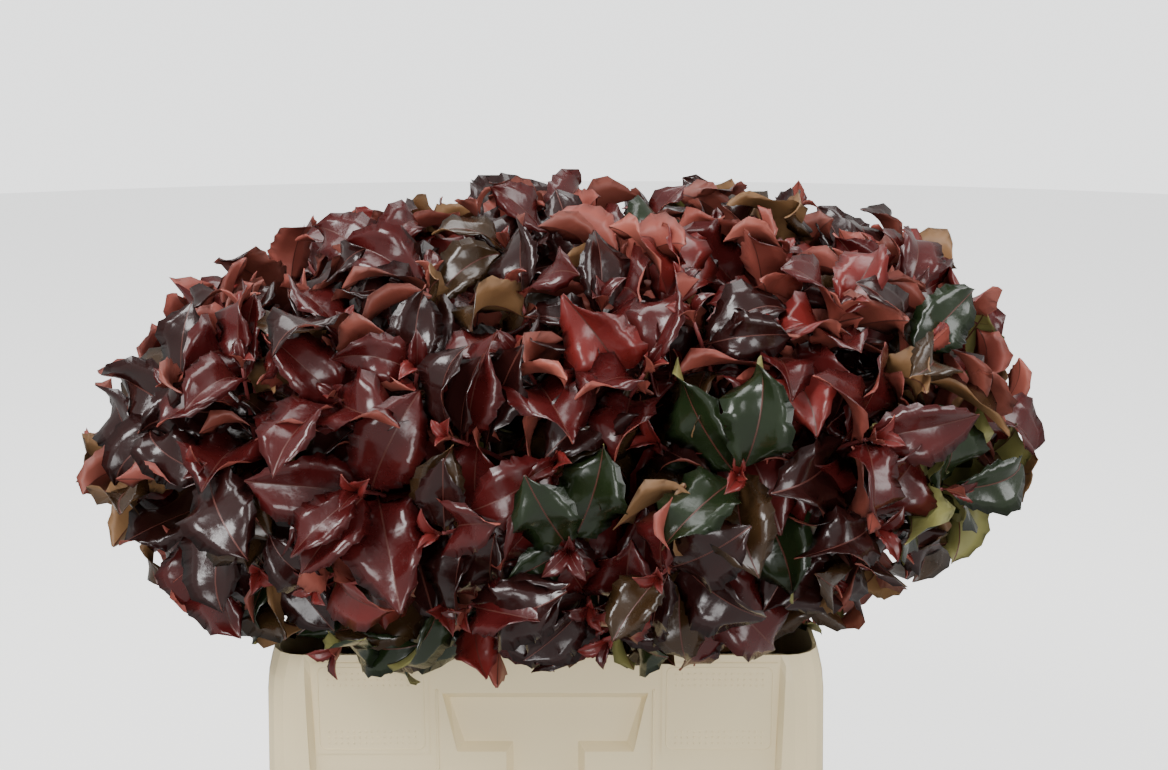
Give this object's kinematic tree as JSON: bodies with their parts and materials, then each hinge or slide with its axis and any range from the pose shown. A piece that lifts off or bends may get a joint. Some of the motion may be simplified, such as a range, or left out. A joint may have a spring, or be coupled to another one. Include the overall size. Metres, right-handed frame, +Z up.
{
  "type": "container of cut photinia shoots",
  "caption": "Dense sheaf of cut red tip photinia shoots, large toothed maroon leaves on slender stems, standing in a tall cream plastic flower container.",
  "frame": {"origin": "middle of the container's flat underside, on the surface that it stands on", "axes": "+Z up, +X along the container's long side towards the picture's right, -Y towards the picture's camera"},
  "size_m": [0.7174, 0.5667, 0.6395],
  "materials": {
    "cream_plastic": "satin",
    "stem_bark": "satin",
    "maroon_leaf": "glossy leaf",
    "red_leaf": "glossy leaf",
    "bronze_leaf": "glossy leaf"
  },
  "bodies": {
    "root": {"container": "cream_plastic", "stem_front_1": "stem_bark", "stem_front_2": "stem_bark", "stem_front_3": "stem_bark", "stem_front_4": "stem_bark", "stem_middle_1": "stem_bark", "stem_middle_2": "stem_bark", "stem_middle_3": "stem_bark", "stem_middle_4": "stem_bark", "stem_middle_5": "stem_bark", "stem_back_1": "stem_bark", "stem_back_2": "stem_bark", "stem_back_3": "stem_bark", "stem_back_4": "stem_bark", "foliage_front_1": "maroon_leaf", "foliage_front_2": "red_leaf", "foliage_front_3": "bronze_leaf", "foliage_front_4": "maroon_leaf", "foliage_middle_1": "bronze_leaf", "foliage_middle_2": "maroon_leaf", "foliage_middle_3": "red_leaf", "foliage_middle_4": "bronze_leaf", "foliage_middle_5": "maroon_leaf", "foliage_back_1": "red_leaf", "foliage_back_2": "bronze_leaf", "foliage_back_3": "maroon_leaf", "foliage_back_4": "red_leaf"}
  },
  "joints": []
}
